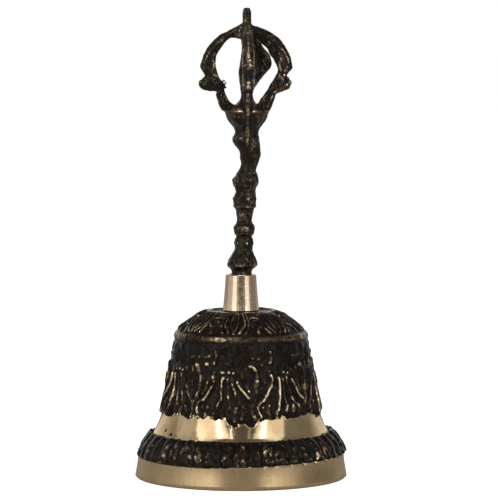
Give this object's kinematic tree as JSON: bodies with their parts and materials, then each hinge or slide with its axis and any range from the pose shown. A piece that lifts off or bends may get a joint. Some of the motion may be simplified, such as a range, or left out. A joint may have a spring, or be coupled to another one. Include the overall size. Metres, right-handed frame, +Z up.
{
  "type": "tibetan hand bell",
  "caption": "Brass hand bell with an antiqued relief waist, a half-vajra handle, a polished ferrule and a loose clapper on a wire link.",
  "frame": {"origin": "centre of the mouth's rim plane, on the surface that the bell stands on", "axes": "+Z up the handle from the mouth to the tip, -Y the front, +X to the right of the front"},
  "size_m": [0.075, 0.075, 0.1655],
  "materials": {
    "antiqued_brass": "black patina rubbed back to brass on the high spots, satin",
    "polished_brass": "lathe-turned and polished",
    "zinc_steel": "plain zinc plate",
    "striker_brass": "as cast, dull"
  },
  "bodies": {
    "bell": {"bell_shell": "antiqued_brass", "ferrule": "polished_brass", "handle_casting": "antiqued_brass", "eye_bolt": "zinc_steel", "crown_washer": "zinc_steel", "crown_nut": "zinc_steel"},
    "link": {"clapper_link": "zinc_steel"},
    "clapper": {"clapper_rod": "zinc_steel", "clapper_ball": "striker_brass"}
  },
  "joints": [
    {"name": "link_swing", "type": "hinge", "parent": "bell", "child": "link", "pos_m": [0, 0, 0.0431], "axis": [1, 0, 0], "range_deg": [-29.5, 29.5]},
    {"name": "clapper_swing", "type": "hinge", "parent": "link", "child": "clapper", "pos_m": [0, 0, 0.0387], "axis": [0, 1, 0], "range_deg": [-29.5, 29.5]}
  ]
}
